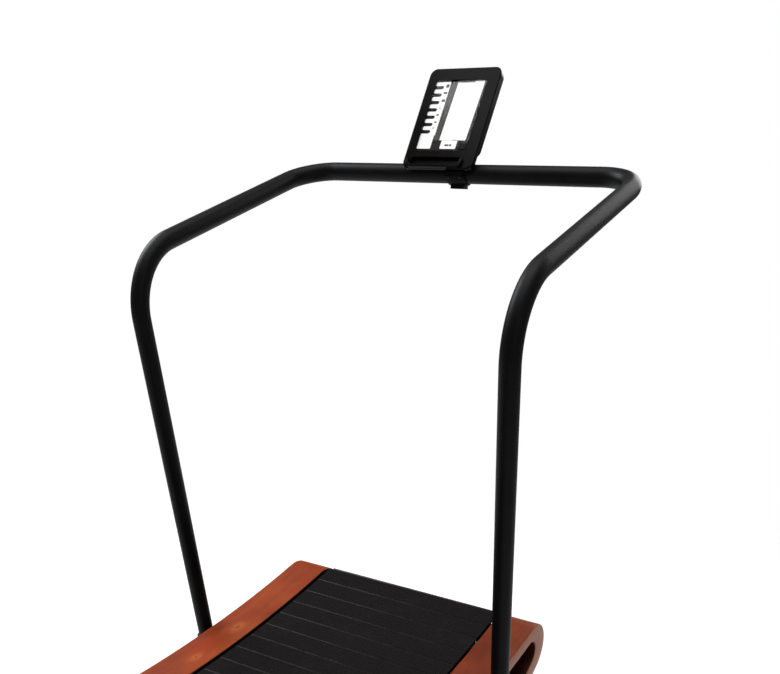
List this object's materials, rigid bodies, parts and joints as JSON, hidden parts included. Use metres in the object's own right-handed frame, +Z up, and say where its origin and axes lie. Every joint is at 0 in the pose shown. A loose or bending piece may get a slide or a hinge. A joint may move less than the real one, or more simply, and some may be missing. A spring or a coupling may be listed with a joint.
{
  "type": "curved manual treadmill",
  "caption": "Unpowered treadmill with a concave slatted belt between closed wood side loops, a bent tube handrail and a small tilting console.",
  "frame": {"origin": "centre of the bounding box's underside, on the floor", "axes": "+X to the runner's right, +Y the way the runner faces, +Z up"},
  "size_m": [0.874, 1.844, 1.4916],
  "materials": {
    "wood": "oiled reddish hardwood, grain along the loop, satin",
    "frame_paint": "black satin powder coat",
    "tube_paint": "black satin powder coat, round tube",
    "zinc": "zinc plated",
    "steel": "ground steel",
    "alu": "extruded aluminium",
    "tread": "ribbed black rubber",
    "belt_rubber": "reinforced black rubber",
    "poly": "hard grey polyurethane roller",
    "shell": "fine textured black plastic",
    "button": "soft black plastic",
    "lcd": "pale reflective display",
    "window": "clear window",
    "board": "circuit board",
    "foot": "black rubber and steel foot"
  },
  "bodies": {
    "frame": {"base_rails": "frame_paint", "bearing_housings": "frame_paint", "bracket_bolts": "zinc", "clamp_screws": "zinc", "console_clamp_cap": "shell", "console_clamp_saddle": "shell", "console_hinge_pin": "steel", "cross_tubes": "frame_paint", "foot_locknuts": "zinc", "frame_bolts": "zinc", "handrail_tube": "tube_paint", "housing_bolts": "zinc", "left_side_plate": "frame_paint", "left_wood_loop": "wood", "post_brackets": "frame_paint", "post_standoffs": "frame_paint", "right_side_plate": "frame_paint", "right_wood_loop": "wood", "roller_axles": "steel", "shaft_bearings": "steel", "speed_sensor": "shell", "wheel_brackets": "frame_paint"},
    "belt_top": {"slat_treads_top": "tread", "slat_bars_top": "alu", "drive_belts_top": "belt_rubber"},
    "belt_rear": {"slat_treads_rear": "tread", "slat_bars_rear": "alu", "drive_belts_rear": "belt_rubber"},
    "belt_bottom": {"slat_treads_bottom": "tread", "slat_bars_bottom": "alu", "drive_belts_bottom": "belt_rubber"},
    "belt_front": {"slat_treads_front": "tread", "slat_bars_front": "alu", "drive_belts_front": "belt_rubber"},
    "front_drum": {"front_shaft": "steel", "front_pulleys": "alu"},
    "rear_drum": {"rear_shaft": "steel", "rear_pulleys": "alu"},
    "console": {"console_front_shell": "shell", "console_back_cover": "shell", "lcd_panel": "lcd", "lcd_window": "window", "control_board": "board"},
    "roller_pair_1": {"track_roller_pair_1": "poly"},
    "roller_pair_2": {"track_roller_pair_2": "poly"},
    "roller_pair_3": {"track_roller_pair_3": "poly"},
    "roller_pair_4": {"track_roller_pair_4": "poly"},
    "roller_pair_5": {"track_roller_pair_5": "poly"},
    "roller_pair_6": {"track_roller_pair_6": "poly"},
    "roller_pair_7": {"track_roller_pair_7": "poly"},
    "roller_pair_8": {"track_roller_pair_8": "poly"},
    "button": {"console_button": "button"},
    "wheel_left": {"transport_wheel_left": "poly"},
    "wheel_right": {"transport_wheel_right": "poly"},
    "foot_1": {"levelling_foot_1": "foot"},
    "foot_2": {"levelling_foot_2": "foot"},
    "foot_3": {"levelling_foot_3": "foot"},
    "foot_4": {"levelling_foot_4": "foot"}
  },
  "joints": [
    {"name": "belt_travel", "type": "hinge", "parent": "frame", "child": "belt_top", "pos_m": [0, -0.08921, 3.553], "axis": [-1, 0, 0], "range_deg": [0, 1]},
    {"name": "belt_rear_turn", "type": "hinge", "parent": "frame", "child": "belt_rear", "pos_m": [0, -0.84934, 0.26068], "axis": [1, 0, 0], "range_deg": [-0.5, 59.92]},
    {"name": "belt_bottom_travel", "type": "hinge", "parent": "frame", "child": "belt_bottom", "pos_m": [0, -0.08921, 3.14681], "axis": [1, 0, 0], "range_deg": [-0.01, 1.1]},
    {"name": "belt_front_turn", "type": "hinge", "parent": "frame", "child": "belt_front", "pos_m": [0, 0.67092, 0.26068], "axis": [1, 0, 0], "range_deg": [-0.5, 59.92]},
    {"name": "front_drum_spin", "type": "hinge", "parent": "frame", "child": "front_drum", "pos_m": [0, 0.67092, 0.26068], "axis": [1, 0, 0], "continuous": true},
    {"name": "rear_drum_spin", "type": "hinge", "parent": "frame", "child": "rear_drum", "pos_m": [0, -0.84934, 0.26068], "axis": [1, 0, 0], "continuous": true},
    {"name": "track_roller_1_spin", "type": "hinge", "parent": "frame", "child": "roller_pair_1", "pos_m": [0, -0.68056, 0.26638], "axis": [1, 0, 0], "continuous": true},
    {"name": "track_roller_2_spin", "type": "hinge", "parent": "frame", "child": "roller_pair_2", "pos_m": [0, -0.5127, 0.24056], "axis": [1, 0, 0], "continuous": true},
    {"name": "track_roller_3_spin", "type": "hinge", "parent": "frame", "child": "roller_pair_3", "pos_m": [0, -0.34374, 0.22331], "axis": [1, 0, 0], "continuous": true},
    {"name": "track_roller_4_spin", "type": "hinge", "parent": "frame", "child": "roller_pair_4", "pos_m": [0, -0.17412, 0.21468], "axis": [1, 0, 0], "continuous": true},
    {"name": "track_roller_5_spin", "type": "hinge", "parent": "frame", "child": "roller_pair_5", "pos_m": [0, -0.00429, 0.21468], "axis": [1, 0, 0], "continuous": true},
    {"name": "track_roller_6_spin", "type": "hinge", "parent": "frame", "child": "roller_pair_6", "pos_m": [0, 0.16533, 0.22331], "axis": [1, 0, 0], "continuous": true},
    {"name": "track_roller_7_spin", "type": "hinge", "parent": "frame", "child": "roller_pair_7", "pos_m": [0, 0.33429, 0.24056], "axis": [1, 0, 0], "continuous": true},
    {"name": "track_roller_8_spin", "type": "hinge", "parent": "frame", "child": "roller_pair_8", "pos_m": [0, 0.50215, 0.26638], "axis": [1, 0, 0], "continuous": true},
    {"name": "console_tilt", "type": "hinge", "parent": "frame", "child": "console", "pos_m": [0, 0.84079, 1.322], "axis": [1, 0, 0], "range_deg": [-15, 2.5]},
    {"name": "button_press", "type": "slide", "parent": "console", "child": "button", "axis": [0, 0.8526, -0.5225], "range_m": [0, 0.001]},
    {"name": "wheel_left_spin", "type": "hinge", "parent": "frame", "child": "wheel_left", "pos_m": [-0.232, 0.51079, 0.038], "axis": [1, 0, 0], "continuous": true},
    {"name": "wheel_right_spin", "type": "hinge", "parent": "frame", "child": "wheel_right", "pos_m": [0.232, 0.51079, 0.038], "axis": [1, 0, 0], "continuous": true},
    {"name": "foot_1_turn", "type": "hinge", "parent": "frame", "child": "foot_1", "pos_m": [-0.308, -0.56921, 0], "axis": [0, 0, 1], "continuous": true},
    {"name": "foot_2_turn", "type": "hinge", "parent": "frame", "child": "foot_2", "pos_m": [-0.308, 0.39079, 0], "axis": [0, 0, 1], "continuous": true},
    {"name": "foot_3_turn", "type": "hinge", "parent": "frame", "child": "foot_3", "pos_m": [0.308, -0.56921, 0], "axis": [0, 0, 1], "continuous": true},
    {"name": "foot_4_turn", "type": "hinge", "parent": "frame", "child": "foot_4", "pos_m": [0.308, 0.39079, 0], "axis": [0, 0, 1], "continuous": true}
  ],
  "couplings": [
    {"joint": "belt_rear_turn", "follows": "belt_travel", "ratio": 59.412},
    {"joint": "belt_bottom_travel", "follows": "belt_travel", "ratio": 1.0929},
    {"joint": "belt_front_turn", "follows": "belt_travel", "ratio": 59.412},
    {"joint": "rear_drum_spin", "follows": "front_drum_spin", "ratio": 1},
    {"joint": "track_roller_1_spin", "follows": "front_drum_spin", "ratio": 3.4957},
    {"joint": "track_roller_2_spin", "follows": "front_drum_spin", "ratio": 3.4957},
    {"joint": "track_roller_3_spin", "follows": "front_drum_spin", "ratio": 3.4957},
    {"joint": "track_roller_4_spin", "follows": "front_drum_spin", "ratio": 3.4957},
    {"joint": "track_roller_5_spin", "follows": "front_drum_spin", "ratio": 3.4957},
    {"joint": "track_roller_6_spin", "follows": "front_drum_spin", "ratio": 3.4957},
    {"joint": "track_roller_7_spin", "follows": "front_drum_spin", "ratio": 3.4957},
    {"joint": "track_roller_8_spin", "follows": "front_drum_spin", "ratio": 3.4957}
  ]
}
